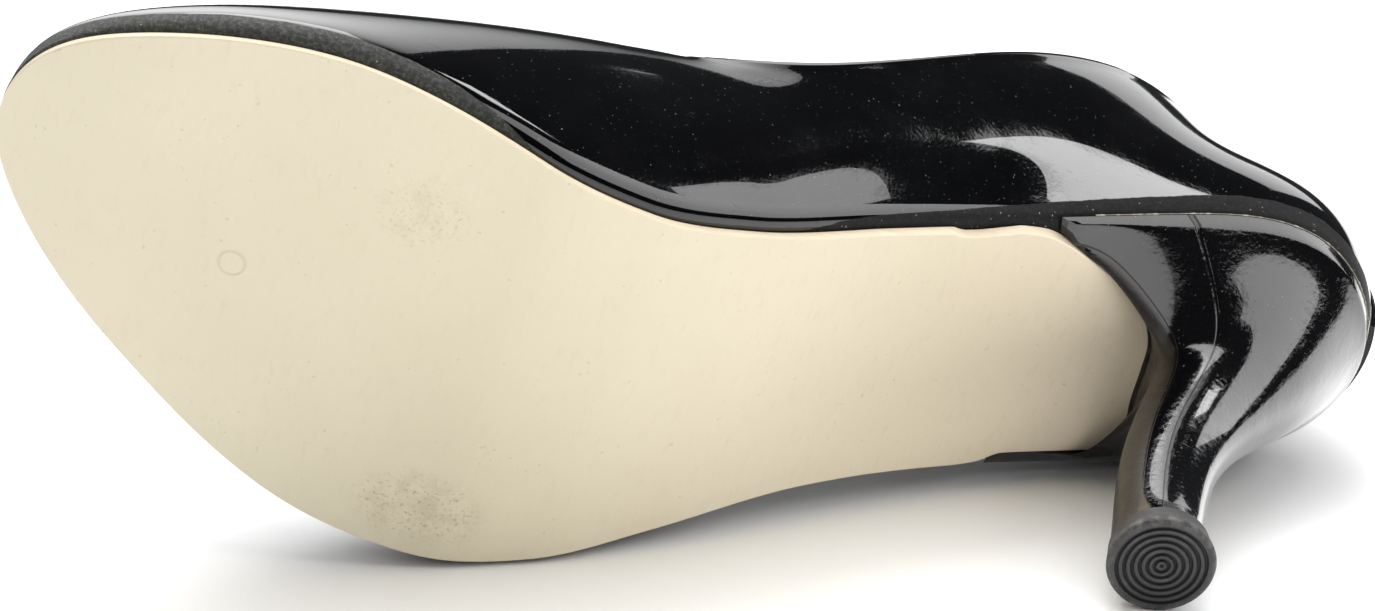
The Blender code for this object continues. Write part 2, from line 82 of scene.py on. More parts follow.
# %% Two curves
def smooth_curve(knots, values):
    """A curve through the rows of a table that never overshoots them; values may have many columns."""
    knots, values = np.asarray(knots, float), np.asarray(values, float)
    spread = values.reshape(len(knots), -1)
    steps = np.diff(knots)[:, None]
    slopes = np.diff(spread, axis=0) / steps
    tangents = np.concatenate([slopes[:1], np.zeros_like(slopes[1:]), slopes[-1:]])
    before, after = slopes[:-1], slopes[1:]
    total = np.where(np.abs(before + after) < 1e-12, 1.0, before + after)
    tangents[1:-1] = np.where(before * after > 0, 2 * before * after / total, 0.0)

    def at(place):
        place = np.asarray(place, float)
        flat = place.reshape(-1)
        inside = np.clip(flat, knots[0], knots[-1])
        i = np.clip(np.searchsorted(knots, inside, side="right") - 1, 0, len(steps) - 1)
        u = ((inside - knots[i]) / steps[i, 0])[:, None]
        h = steps[i]
        line = (
            spread[i] * (1 + 2 * u) * (1 - u) ** 2
            + tangents[i] * h * u * (1 - u) ** 2
            + spread[i + 1] * u**2 * (3 - 2 * u)
            + tangents[i + 1] * h * u**2 * (u - 1)
        )
        end = np.where((flat < knots[0])[:, None], tangents[0], tangents[-1])
        line = line + end * (flat - inside)[:, None]
        return line.reshape(place.shape + values.shape[1:])

    return at


def loop_curve(knots, values):
    """A closed cubic spline over one full turn."""
    knots, values = np.asarray(knots, float), np.asarray(values, float)
    count = len(knots)
    steps = np.diff(np.append(knots, knots[0] + 2 * math.pi))
    rates = (np.roll(values, -1) - values) / steps
    system = np.zeros((count, count))
    for i in range(count):
        system[i, i - 1] += steps[i - 1]
        system[i, i] += 2 * (steps[i - 1] + steps[i])
        system[i, (i + 1) % count] += steps[i]
    bends = np.linalg.solve(system, 6 * (rates - np.roll(rates, 1)))

    def at(place):
        place = np.mod(np.asarray(place, float), 2 * math.pi)
        i = np.searchsorted(knots, place, side="right") - 1
        j = (i + 1) % count
        u, h = place - knots[i], steps[i]
        slope = rates[i] - h * (2 * bends[i] + bends[j]) / 6
        return values[i] + u * (slope + u * (bends[i] / 2 + u * (bends[j] - bends[i]) / (6 * h)))

    return at


def loop_table(stations, inner_side, outer_side):
    """A closed curve from what a table says of the inner and of the outer side at each station."""
    turns = np.arccos(1 - 2 * np.asarray(stations, float))
    knots = np.concatenate([turns, 2 * math.pi - turns[-2:0:-1]])
    return loop_curve(knots, np.concatenate([inner_side, np.asarray(outer_side)[-2:0:-1]]))


print("curves ready")

# %% [markdown]
# ## The bottom of the shoe
#
# The tables below are in millimetres. The outline says how far the sole's edge lies from the heel's axis on
# both sides, and the tread line says how high the sole is over the floor: a share of the heel's height
# behind the ball of the foot, and a share of the toe spring in front of it.

# %% Outline and tread line
MM = 0.001
LENGTH = 232.0
HEEL_HEIGHT = 77.0
TOE_SPRING = 8.8
SOLE_THICK = 2.2
INSOLE_THICK = 1.8
WALL = 1.6
GAP = 0.3

OUTLINE = np.array([
    # station, inner, outer
    (0.00, 0.0, 0.0), (0.03, 15.6, -15.6), (0.07, 21.6, -21.9), (0.125, 24.0, -24.6), (0.18, 23.8, -24.9),
    (0.30, 22.8, -25.2), (0.40, 24.0, -26.4), (0.50, 26.6, -30.2), (0.60, 31.8, -35.2), (0.70, 39.3, -35.8),
    (0.78, 43.0, -30.6), (0.86, 41.2, -20.2), (0.93, 35.4, -8.8), (0.98, 27.0, 3.0), (1.00, 15.0, 15.0),
])
TREAD = np.array([
    # station, share of the heel's height, share of the toe spring
    (0.00, 1.0, 0.0), (0.05, 0.978, 0.0), (0.10, 0.935, 0.0), (0.20, 0.8, 0.0), (0.30, 0.636, 0.0),
    (0.40, 0.436, 0.0), (0.50, 0.202, 0.0), (0.58, 0.057, 0.0), (0.66, 0.0, 0.0), (0.74, 0.0, 0.0),
    (0.80, 0.0, 0.08), (0.90, 0.0, 0.38), (1.00, 0.0, 1.0),
])
outline_y = loop_table(OUTLINE[:, 0], OUTLINE[:, 1], OUTLINE[:, 2])
tread_z = smooth_curve(LENGTH * TREAD[:, 0], HEEL_HEIGHT * TREAD[:, 1] + TOE_SPRING * TREAD[:, 2])


def steep(x):
    """How much taller than its thickness a layer stands where the tread line slopes."""
    return np.hypot(1, (tread_z(x + 0.1) - tread_z(x - 0.1)) / 0.2)


def turn_of(x):
    """The loop's turn on the inner side at a place along the shoe."""
    return np.arccos(np.clip(1 - 2 * np.asarray(x, float) / LENGTH, -1, 1))


def outline(turns, out=0.0):
    """The sole's outline in plan, moved outwards by `out`."""
    turns = np.asarray(turns, float)

    def plan(t):
        return np.stack([LENGTH * (1 - np.cos(t)) / 2, outline_y(t)], axis=-1)

    along = plan(turns + 1e-4) - plan(turns - 1e-4)
    normal = np.stack([-along[..., 1], along[..., 0]], axis=-1)
    normal /= np.linalg.norm(normal, axis=-1, keepdims=True)
    return plan(turns) + np.asarray(out)[..., None] * normal, normal


print("ball width", round(float(outline_y(turn_of(170)) - outline_y(-turn_of(170))), 1), "mm")

# %% [markdown]
# ## Shader maths as plain Python
#
# Materials are easier to read when their maths looks like maths. `Sock` wraps one output of a shader node
# and overloads the operators, so `grain * 0.3 + 0.1` builds the nodes for us. `Paint` makes a material and
# has one method, `node`, for every other kind of node.

# %% Sockets with operators
class Sock:
    def __init__(self, paint, socket):
        self.paint = paint
        self.socket = socket

    def math(self, operation, *others):
        node = self.paint.tree.nodes.new("ShaderNodeMath")
        node.operation = operation
        for socket, value in zip(node.inputs, (self, *others)):
            self.paint.plug(value, socket)
        return Sock(self.paint, node.outputs[0])

    def __add__(self, other):
        return self.math("ADD", other)

    def __mul__(self, other):
        return self.math("MULTIPLY", other)

    def __sub__(self, other):
        return self.math("SUBTRACT", other)

    def __rsub__(self, other):
        return (self * -1.0) + other

    def __truediv__(self, other):
        return self.math("DIVIDE", other)

    def __pow__(self, other):
        return self.math("POWER", other)

    __radd__ = __add__
    __rmul__ = __mul__

    def ramp(self, low, high):
        """0 up to `low`, 1 from `high`, and smooth in between."""
        sockets = {"Value": self, "From Min": low, "From Max": high}
        return self.paint.node("ShaderNodeMapRange", {"interpolation_type": "SMOOTHSTEP"}, sockets)


class Paint:
    def __init__(self, name):
        self.material = bpy.data.materials.new(name)
        self.material.use_nodes = True
        self.tree = self.material.node_tree
        self.shader = self.tree.nodes["Principled BSDF"]

    def plug(self, value, socket):
        if isinstance(value, Sock):
            self.tree.links.new(value.socket, socket)
        else:
            socket.default_value = value

    def node(self, kind, settings, sockets, out=0):
        made = self.tree.nodes.new(kind)
        for name, value in settings.items():
            setattr(made, name, value)
        for name, value in sockets.items():
            self.plug(value, made.inputs[name])
        return Sock(self, made.outputs[out])

    def place(self):
        """The point on the surface, in metres, in the standing shoe's own coordinates."""
        lying = self.node("ShaderNodeTexCoord", {}, {}, "Object")
        sockets = {"Vector": lying, "Location": LAY.translation, "Rotation": LAY.to_euler()}
        return self.node("ShaderNodeMapping", {"vector_type": "TEXTURE"}, sockets)

    def chart(self):
        """The two numbers that the mesh keeps in its UV map."""
        return self.split(self.node("ShaderNodeTexCoord", {}, {}, "UV"))[:2]

    def split(self, vector):
        return [self.node("ShaderNodeSeparateXYZ", {}, {"Vector": vector}, axis) for axis in "XYZ"]

    def noise(self, scale, detail=3.0, rough=0.5, stretch=(1.0, 1.0, 1.0)):
        spot = self.node("ShaderNodeVectorMath", {"operation": "MULTIPLY"}, {0: self.place(), 1: stretch})
        sockets = {"Vector": spot, "Scale": scale, "Detail": detail, "Roughness": rough}
        return self.node("ShaderNodeTexNoise", {}, sockets)

    def mix(self, share, a, b):
        """Colour a where share is 0, colour b where it is 1."""
        node = self.tree.nodes.new("ShaderNodeMix")
        node.data_type = "RGBA"
        self.plug(share, node.inputs[0])
        self.plug(a, node.inputs[6])
        self.plug(b, node.inputs[7])
        return Sock(self, node.outputs[2])

    def bump(self, height, distance, strength=1.0):
        sockets = {"Height": height, "Distance": distance, "Strength": strength}
        return self.node("ShaderNodeBump", {}, sockets)

    def set(self, **values):
        for name, value in values.items():
            self.plug(value, self.shader.inputs[name.replace("_", " ")])
        return self.material


def srgb(red, green, blue):
    """A colour as a picture shows it, 0 to 255, turned into the linear colour a shader needs."""
    shares = [c / 255 for c in (red, green, blue)]
    return (*[s / 12.92 if s <= 0.04045 else ((s + 0.055) / 1.055) ** 2.4 for s in shares], 1.0)


print("paint kit ready")

# %% [markdown]
# ## From grids to objects
#
# Every skin is a grid of points. `skin` turns a grid into a mesh with a UV map that holds whatever two
# numbers the material wants to know, lays it down with `LAY`, and hides the solid it stands for.

# %% Grid to object
def grid_faces(rows, columns, closed):
    """Quads over a grid that is stored row by row, closed round its columns if asked."""
    faces = []
    for r in range(rows - 1):
        for c in range(columns if closed else columns - 1):
            d = (c + 1) % columns
            faces.append((r * columns + c, r * columns + d, (r + 1) * columns + d, (r + 1) * columns + c))
    return faces


def skin(name, points, faces, materials, node=None, chart=None, sharp=50, pick=None):
    """An object from points in standing millimetres, riding on the shoe's one body."""
    mesh = bpy.data.meshes.new(name)
    mesh.from_pydata([LAY @ Vector(point) for point in np.asarray(points) * MM], [], faces)
    for material in materials:
        mesh.materials.append(material)
    if chart is not None:
        corners = np.zeros(len(mesh.loops), dtype=int)
        mesh.loops.foreach_get("vertex_index", corners)
        layer = mesh.uv_layers.new(name="chart")
        layer.data.foreach_set("uv", np.asarray(chart, float)[corners].reshape(-1))
    if pick is not None:
        mesh.polygons.foreach_set("material_index", np.asarray(pick, dtype=np.int32))
    shaped = bmesh.new()
    shaped.from_mesh(mesh)
    bmesh.ops.recalc_face_normals(shaped, faces=shaped.faces)
    shaped.to_mesh(mesh)
    shaped.free()
    mesh.shade_smooth()
    mesh.set_sharp_from_angle(angle=math.radians(sharp))
    made = bpy.data.objects.new(name, mesh)
    bpy.context.scene.collection.objects.link(made)
    bpy.context.view_layer.update()
    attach(made, "root")
    if node:
        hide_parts(node)
    print(name, len(mesh.polygons), "faces")
    return made


# %% [markdown]
# ## The upper's shape
#
# The leather is turned in under the insole, comes round the edge of the sole, and rises to the topline. Each
# line up the wall is a curve with a handle at its foot and a handle at its top, and a table says how
# these change from the heel to the toe.

# %% Topline and swell
TOPLINE = np.array([
    # station, x, inner y, inner z, outer y, outer z
    (0.00, 3.0, 0.0, 127.0, 0.0, 127.0), (0.03, 8.0, 7.2, 125.4, -7.2, 125.2),
    (0.07, 17.0, 12.0, 121.6, -12.0, 121.0), (0.125, 30.0, 17.6, 116.4, -17.4, 115.0),
    (0.20, 46.0, 25.4, 111.4, -23.2, 108.0), (0.30, 68.0, 30.6, 98.2, -27.4, 93.6),
    (0.40, 88.0, 32.8, 80.6, -29.6, 76.0), (0.50, 106.0, 33.4, 66.4, -30.4, 62.0),
    (0.60, 121.0, 32.4, 60.0, -29.6, 56.0), (0.70, 133.0, 30.6, 57.6, -26.6, 53.4),
    (0.80, 142.5, 26.6, 57.2, -20.6, 53.0), (0.90, 149.5, 17.0, 56.4, -10.0, 54.0),
    (1.00, 152.0, 4.0, 55.6, 4.0, 55.6),
])
SWELL = np.array([
    # station, rand, low out, low up, high reach, high out, high down
    (0.00, 2.3, 3.6, 15.0, 0.00, 3.0, 16.0), (0.125, 2.3, 2.2, 15.0, 0.00, 4.5, 14.0),
    (0.30, 2.3, 4.0, 16.0, 0.00, 1.8, 14.0), (0.40, 2.3, 4.4, 16.0, 0.00, -0.5, 14.0),
    (0.50, 2.2, 4.6, 16.0, 0.00, -1.0, 14.0), (0.60, 2.0, 3.4, 14.0, 0.12, 0.5, 12.0),
    (0.70, 1.9, 1.4, 10.0, 0.30, 3.0, 9.0), (0.80, 1.6, 0.6, 8.0, 0.42, 1.0, 9.0),
    (0.90, 1.1, 0.6, 7.5, 0.50, 0.0, 11.0), (0.97, 0.2, 0.0, 6.5, 0.53, 0.0, 14.0),
    (1.00, -0.3, -1.0, 6.0, 0.54, 0.0, 15.0),
])
TURNED_EDGE = (
    # in from the sole's edge, share of the rand, up
    (9.0, 0.0, 0.0), (6.0, 0.0, 0.0), (3.5, 0.0, 0.0), (1.2, 0.0, 0.03), (0.0, 0.0, 0.15),
    (0.0, 0.36, 0.5), (0.0, 0.65, 1.1), (0.0, 0.87, 2.0), (0.0, 1.0, 3.2),
)
WALL_ROWS = 44
top = [loop_table(TOPLINE[:, 0], TOPLINE[:, a], TOPLINE[:, b]) for a, b in ((1, 1), (2, 4), (3, 5))]
rand, low_out, low_up, reach, high_out, high_down = (
    loop_table(SWELL[:, 0], SWELL[:, k], SWELL[:, k]) for k in range(1, 7)
)


def base_z(x):
    """Underside of the turned-in leather, just over the sole."""
    return tread_z(x) + (SOLE_THICK + GAP) * steep(x)


def wall_grid(turns):
    """The outer face of the upper: a row of points for each level, from the turned-in edge to the topline."""
    turns = np.asarray(turns, float)
    grid = []
    for inward, of_rand, rise in TURNED_EDGE:
        plan, normal = outline(turns, of_rand * rand(turns) - inward)
        grid.append(np.column_stack([plan, base_z(plan[:, 0]) + rise]))
    foot = grid[-1]
    outward = np.column_stack([normal, np.zeros(len(turns))])
    upward = np.array([0.0, 0.0, 1.0])
    crest = np.column_stack([curve(turns) for curve in top])
    low = foot + low_out(turns)[:, None] * outward + low_up(turns)[:, None] * upward
    level = (foot - crest) * np.array([1.0, 1.0, 0.0])
    high = crest + reach(turns)[:, None] * level + high_out(turns)[:, None] * outward
    high = high - high_down(turns)[:, None] * upward
    for u in np.linspace(0, 1, WALL_ROWS + 1)[1:]:
        v = 1 - u
        grid.append(foot * v**3 + 3 * low * u * v**2 + 3 * high * u**2 * v + crest * u**3)
    return np.array(grid)


def grid_normals(grid, closed):
    """Outward directions over a grid of points."""
    if closed:
        across = np.roll(grid, -1, axis=1) - np.roll(grid, 1, axis=1)
    else:
        across = np.gradient(grid, axis=1)
    normal = np.cross(across, np.gradient(grid, axis=0))
    return normal / (np.linalg.norm(normal, axis=2, keepdims=True) + 1e-9)


print("wall at the ball is", len(wall_grid([1.9])), "levels high")

# %% [markdown]
# ## Creases
#
# A shoe that has been worn is no longer a perfect copy of its last. Each row below is a shallow swell or dent:
# where it is round the loop (as a station on one side) and up the wall, how wide it is both ways, and how deep.

# %% Dents in the leather
DENTS = (
    # side, station, share up the wall, half length in turns, half height, depth in mm (below zero for a swell)
    (1, 0.70, 0.93, 0.07, 0.08, -0.45),
    (1, 0.60, 0.92, 0.05, 0.05, -0.30),
    (1, 0.33, 0.62, 0.20, 0.22, 0.25),
    (1, 0.13, 0.72, 0.12, 0.20, 0.40),
    (-1, 0.74, 0.78, 0.12, 0.16, 0.50),
    (-1, 0.62, 0.60, 0.09, 0.30, 0.40),
    (-1, 0.48, 0.75, 0.20, 0.18, 0.45),
    (-1, 0.30, 0.60, 0.16, 0.22, 0.35),
    (1, 0.93, 0.60, 0.20, 0.12, 0.20),
    (-1, 0.93, 0.66, 0.22, 0.12, 0.25),
)


def dent_depth(turns, share_up):
    """How far the leather is pushed in at each point of the grid."""
    depth = np.zeros(np.broadcast(turns, share_up).shape)
    for side, station, height, long, tall, deep in DENTS:
        place = side * math.acos(1 - 2 * station)
        away = np.angle(np.exp(1j * (turns - place)))
        depth += deep * np.exp(-((away / long) ** 2) - ((share_up - height) / tall) ** 2)
    return depth


print(len(DENTS), "dents and swells")

# %% [markdown]
# ## Patent leather
#
# Patent leather is black leather under a thick clear coat. The coat gives crisp reflections, and the leather
# below gives them a slight ripple. Close to the sole the maker roughs the leather so that the cement holds,
# and there it is grey, dull and dusty. The mesh keeps, in its UV map, how many band heights above the sole
# each point is, so the band ends at 1.

# %% Patent with a roughed band
def patent(name, banded):
    paint = Paint(name)
    ripple = paint.noise(70.0, 2.0) * 0.5 + paint.noise(28.0, 1.0)
    peel = paint.noise(1500.0, 2.0)
    haze = paint.noise(60.0, 5.0, 0.65).ramp(0.35, 0.8)
    scratches = paint.noise(900.0, 2.0, 0.6, (0.08, 1.0, 1.0)).ramp(0.64, 0.72)
    black = paint.mix(haze, srgb(2, 2, 3), srgb(7, 7, 9))
    rough = 0.05 + haze * 0.04 + scratches * 0.05
    coat = 1.0 - scratches * 0.15
    dots = paint.noise(2300.0, 1.0).ramp(0.755, 0.79)
    colour = paint.mix(dots * 0.5, black, srgb(150, 150, 150))
    if banded:
        level = paint.chart()[1]
        ragged = (paint.noise(300.0, 3.0, 0.6) - 0.5) * 0.22
        band = 1.0 - (level + ragged).ramp(0.95, 1.03)
        dust = paint.noise(1500.0, 4.0, 0.75).ramp(0.40, 0.70)
        front = paint.split(paint.place())[0].ramp(0.09, 0.21)
        grey = paint.mix(front, srgb(11, 10, 11), srgb(58, 59, 57))
        dull = paint.mix(dust * 0.6, grey, paint.mix(front, srgb(40, 39, 39), srgb(112, 112, 108)))
        specks = paint.noise(1700.0, 1.0).ramp(0.74, 0.79) * band
        colour = paint.mix(specks * 0.7, paint.mix(band, colour, dull), srgb(190, 184, 172))
        rough = rough + band * 0.5
        coat = coat * (1.0 - band)
    height = ripple + peel * 0.04
    paint.set(Base_Color=colour, Roughness=rough, Coat_Weight=coat, Normal=paint.bump(height, 0.00030))
    return paint.set(IOR=1.5, Coat_Roughness=0.015, Specular_IOR_Level=0.2)


PATENT = patent("patent_upper", True)
STRIP = patent("patent_strip", False)
print("patent ready")

# %% [markdown]
# ## Lining
#
# Inside, the leather is lined with soft beige kid. It has a fine grain and no gloss.

# %% Lining leather
def lining(name, colour, darker):
    paint = Paint(name)
    grain = paint.noise(1300.0, 4.0, 0.6)
    cloud = paint.noise(35.0, 3.0)
    tint = paint.mix(cloud.ramp(0.3, 0.75), colour, darker)
    paint.set(Base_Color=paint.mix(grain.ramp(0.55, 0.8) * 0.35, tint, darker), Roughness=0.5 + grain * 0.2)
    return paint.set(Normal=paint.bump(grain, 0.00012, 0.6))


LINING = lining("lining_kid", srgb(178, 154, 122), srgb(162, 138, 106))
SOCK = lining("sock_kid", srgb(184, 160, 126), srgb(166, 141, 108))
print("lining ready")

# %% [markdown]
# ## Making the upper
#
# The outer face is one closed band of points. A Solidify modifier gives it its real wall and puts the lining
# on the inside. A small swell under the topline stands for the edge that is folded over. The height of the
# roughed band changes along the shoe: three millimetres at the toe, next to nothing between the ball and the
# waist, and nearly five round the heel seat.

# %% The upper
BAND = np.array([
    # x, height of the roughed band
    (0, 4.8), (20, 4.8), (55, 3.8), (70, 2.8), (85, 1.6), (100, 0.8), (110, 0.1), (155, 0.1), (163, 1.2),
    (172, 2.4), (190, 3.0), (232, 3.0),
])
FOLD, FOLD_SHARE = 0.22, 0.05
TURNS = np.linspace(0, 2 * math.pi, 300, endpoint=False)
grid = wall_grid(TURNS)
edge_rows = len(TURNED_EDGE)
share_up = np.clip((np.arange(len(grid)) - edge_rows + 1) / WALL_ROWS, 0, 1)[:, None]
inward = dent_depth(TURNS[None, :], share_up) * np.sin(math.pi * np.clip(share_up * 1.05, 0, 1)) ** 0.5
fold = FOLD * np.exp(-(((1 - share_up) / FOLD_SHARE) ** 2))
normal = grid_normals(grid, True)
normal *= -np.sign(normal[edge_rows + 20, 0, 0])  # at the back of the shoe, outwards is towards -x
grid = grid + normal * (fold - inward)[..., None]
band_height = smooth_curve(BAND[:, 0], BAND[:, 1])
bands_up = (grid[..., 2] - base_z(grid[..., 0])) / band_height(grid[..., 0])
chart = np.stack([np.broadcast_to(TURNS / (2 * math.pi), bands_up.shape), bands_up], -1)
upper = skin(
    "shoe_upper", grid.reshape(-1, 3), grid_faces(len(grid), len(TURNS), True), [PATENT, LINING],
    "upper", chart.reshape(-1, 2),
)
wall = upper.modifiers.new("wall", "SOLIDIFY")
wall.thickness = WALL * MM
wall.offset = -1
wall.use_even_offset = True
wall.material_offset = 1
wall.material_offset_rim = 0

# %% [markdown]
# ## The strip at the back
#
# A narrow strip covers the seam at the back. It is cut from the upper's own face, lifted by its thickness,
# and rounded over at its edges. Its underside stays just clear of the upper.

# %% The back strip
STRIP_THICK, STRIP_UNDER = 0.9, 0.9 * GAP
STRIP_LOW, STRIP_HIGH = 7.0, 5.5  # half its width at the bottom and at the top
STRIP_ROUND = 0.05  # share of the half width that is rounded over
fine = wall_grid(np.linspace(-0.9, 0.9, 721))
levels = fine[7:]
halves = np.linspace(STRIP_LOW, STRIP_HIGH, len(levels))
shares = np.sin(np.linspace(-math.pi / 2, math.pi / 2, 33))
strip_grid = np.zeros((len(levels), len(shares), 3))
for row, (line, half) in enumerate(zip(levels, halves)):
    for axis in range(3):
        strip_grid[row, :, axis] = np.interp(half * shares, line[:, 1], line[:, axis])
strip_out = grid_normals(strip_grid, False)
strip_out *= -np.sign(strip_out[20, 16, 0])
lift = GAP + STRIP_THICK * np.clip((1 - np.abs(shares)) / STRIP_ROUND, 0, 1) ** 0.4
outside = strip_grid + strip_out * lift[None, :, None]
inside = strip_grid + strip_out * STRIP_UNDER
count = len(levels) * len(shares)
faces = grid_faces(len(levels), len(shares), False)
faces += [tuple(i + count for i in face[::-1]) for face in faces]
places = np.arange(count).reshape(len(levels), len(shares))
for rim in (places[:, 0], places[:, -1], places[0], places[-1]):
    path = rim.tolist()
    faces += [(a, b, b + count, a + count) for a, b in zip(path, path[1:])]
strip_points = np.concatenate([outside.reshape(-1, 3), inside.reshape(-1, 3)])
skin("shoe_back_strip", strip_points, faces, [STRIP], "back_strip")

# %% [markdown]
# ## Sole leather
#
# The sole is smooth cream leather. It has soft clouds of colour, a fine grain, two dirty patches where it was
# walked on, and a small pressed ring. Its rear, next to the heel, is painted lighter: painted light that makes
# up for the heel's shade there. `spot` makes a soft oval mask round a place on the sole.

# %% Cream leather
RING_X, RING_Y = 192.9, 5.0


def spot(paint, x, y, long, wide):
    """1 in the middle of an oval on the sole, falling softly to 0 outside it; sizes in millimetres."""
    px, py, _ = paint.split(paint.place())
    away = ((px - x * MM) / (long * MM)) ** 2.0 + ((py - y * MM) / (wide * MM)) ** 2.0
    return 1.0 - away.ramp(0.1, 1.0)


def cream(name):
    paint = Paint(name)
    cloud = paint.noise(16.0, 3.0).ramp(0.3, 0.75)
    grain = paint.noise(2200.0, 3.0, 0.6)
    fibre = paint.noise(700.0, 4.0, 0.65, (1.0, 0.35, 1.0))
    # Painted light: the rear of the sole, next to the heel, is painted lighter to make up for the heel's shade.
    rear_painted_light = 1.0 - paint.split(paint.place())[0].ramp(0.03, 0.13)
    leather = paint.mix(cloud, srgb(222, 212, 186), srgb(229, 219, 194))
    leather = paint.mix(rear_painted_light * 0.9, leather, srgb(246, 231, 205))
    leather = paint.mix(fibre.ramp(0.5, 0.85) * 0.28, leather, srgb(206, 192, 162))
    walked = spot(paint, 168.0, 23.0, 9.0, 8.0) * 0.5 + spot(paint, 154.5, -27.5, 12.5, 8.0) * 0.95
    smudge = paint.noise(240.0, 4.0, 0.65).ramp(0.38, 0.66) * walked
    dirt = paint.noise(1500.0, 3.0, 0.7).ramp(0.52, 0.72) * walked
    specks = paint.noise(900.0, 1.0).ramp(0.745, 0.77)
    leather = paint.mix(smudge * 0.35, leather, srgb(186, 170, 138))
    leather = paint.mix(dirt * 0.8, leather, srgb(160, 143, 112))
    leather = paint.mix(specks * 0.2, leather, srgb(150, 128, 100))
    px, py, _ = paint.split(paint.place())
    radius = ((px - RING_X * MM) ** 2.0 + (py - RING_Y * MM) ** 2.0) ** 0.5
    ring = radius.ramp(0.0017, 0.0019) * (1.0 - radius.ramp(0.0021, 0.0023))
    leather = paint.mix(ring * 0.22, leather, srgb(176, 158, 126))
    height = grain * 0.25 + fibre * 0.35 - ring * 0.9
    paint.set(Base_Color=leather, Roughness=0.42 + fibre * 0.14 + walked * 0.12)
    return paint.set(Normal=paint.bump(height, 0.00010, 0.7), Coat_Weight=0.06, Coat_Roughness=0.3)


def cream_edge(name):
    paint = Paint(name)
    layers = paint.noise(900.0, 3.0, 0.6, (0.06, 0.06, 1.0))
    smudge = paint.noise(130.0, 4.0, 0.65).ramp(0.56, 0.8)
    raw = paint.mix(layers, srgb(222, 208, 184), srgb(200, 184, 156))
    paint.set(Base_Color=paint.mix(smudge * 0.5, raw, srgb(170, 154, 126)), Roughness=0.7)
    return paint.set(Normal=paint.bump(layers, 0.0002, 0.6))


CREAM = cream("cream_sole")
RAW_EDGE = cream_edge("cream_edge")
print("sole leather ready")

# %% [markdown]
# ## The outsole
#
# The sole is a thin plate that is flat across. Its rear end is a flap: the table says how far its two edges
# are drawn in from the outline. The flap bends down along the heel, and its cut end slants, so that a little
# of its thickness shows.

# %% The outsole
FLAP = np.array([
    # x, inner edge in, outer edge in
    (34.6, 43.4, 4.6), (36.2, 40.4, 3.6), (37.6, 35.0, 3.0), (38.2, 29.0, 2.9), (38.7, 24.3, 2.8),
    (40.5, 19.9, 2.6), (44.3, 15.1, 2.4), (49.1, 10.7, 2.3), (57.0, 5.5, 2.2), (61.5, 2.8, 0.5),
    (66.0, 0.8, 0.05), (71.0, 0.0, 0.0),
])
FLAP_END, FLAP_CORNER, FLAP_START = FLAP[0, 0], 39.5, FLAP[-1, 0]
FLAP_BEND, FLAP_DROP, FLAP_SLANT, FLAP_GAP = 43.0, 2.6, 2.4, 0.2
EDGE_SLOPE = 0.5
NICK_X, NICK_DEEP = 82.0, 0.7
drawn_in = smooth_curve(FLAP[:, 0], FLAP[:, 1:])


def curl(x):
    """0 in front of the place where the flap bends, rising to 1 at its end."""
    return np.clip((FLAP_BEND - np.asarray(x, float)) / (FLAP_BEND - FLAP_END), 0, 1)


def sole_z(x):
    """Underside of the sole: the tread line, with the flap bent down along the heel."""
    return tread_z(x) - FLAP_DROP * curl(x) ** 2


def sole_edges(x):
    """Inner and outer edge of the sole, drawn in along the flap."""
    turn = turn_of(x)
    inset = drawn_in(np.minimum(x, FLAP_START))
    return outline_y(turn) - inset[:, 0], outline_y(-turn) + inset[:, 1]


def plate(stations, inner_edge, outer_edge, under, over, easing=0.22, back=0.0, slope=0.0):
    """A thin closed plate with eased lower corners, its upper face set back by `back` and in by `slope`.

    Besides points and faces it gives a material number for each face: 0 for the flat faces and the eased
    corner, 1 for the cut edge."""
    loops = []
    levels = ((under, easing, 0.0, 0.0), (under, 0.0, easing, 0.0), (over, slope, 0.0, back))
    for low, cut, rise, behind in levels:
        ins = np.stack([stations - behind, inner_edge - cut, low + rise], 1)
        outs = np.stack([stations - behind, outer_edge + cut, low + rise], 1)
        loops.append(np.concatenate([ins, outs[::-1]]))
    count = len(stations)
    points = np.concatenate(loops)
    faces, pick = [], []
    for i in range(count - 1):
        a, b = i, 2 * count - 1 - i
        faces.append((a, a + 1, b - 1, b))
        faces.append(tuple(4 * count + v for v in (a, b, b - 1, a + 1)))
        pick += [0, 0]
    faces += grid_faces(len(loops), 2 * count, True)
    pick += [0] * (2 * count) + [1] * (2 * count)
    return points, faces, pick


flap = np.concatenate([np.linspace(FLAP_END, FLAP_CORNER, 46), np.linspace(FLAP_CORNER, FLAP_START, 36)[1:]])
front = LENGTH * (1 - np.cos(np.linspace(turn_of(FLAP_START), math.pi, 200)[1:-1])) / 2
stations = np.concatenate([flap, front, [LENGTH - 0.03]])
inner_edge, outer_edge = sole_edges(stations)
# The sole's inner edge has a small step where the waist begins.
nick = NICK_DEEP / (1 + np.exp((stations - NICK_X) / 0.35)) * np.clip((stations - NICK_X + 12) / 8, 0, 1)
under = sole_z(stations)
points, faces, pick = plate(
    stations, inner_edge - nick, outer_edge, under, under + SOLE_THICK * steep(stations),
    back=FLAP_SLANT * curl(stations), slope=EDGE_SLOPE * np.clip((stations - FLAP_START) / 30, 0, 1),
)
skin("shoe_outsole", points, faces, [CREAM, RAW_EDGE], "outsole", sharp=30, pick=pick)

# %% [markdown]
# ## The insole
#
# The insole lies on the turned-in edge. It shows only through the collar, so a plain plate with kid on it
# is enough.

# %% The insole
SIDE_ROOM, SEAT_ROOM = 1.35, 0.4
turns = 2 * math.pi * np.arange(1, 120) / 240
left, right = (outline(way, rand(way) - WALL - SIDE_ROOM)[0] for way in (turns, -turns))
stations = (left[:, 0] + right[:, 0]) / 2
under = base_z(stations) + (WALL + SEAT_ROOM) * steep(stations)
over = under + INSOLE_THICK * steep(stations)
points, faces, _ = plate(stations, left[:, 1], right[:, 1], under, over, 0.1)
skin("shoe_insole", points, faces, [SOCK], "insole", sharp=30)

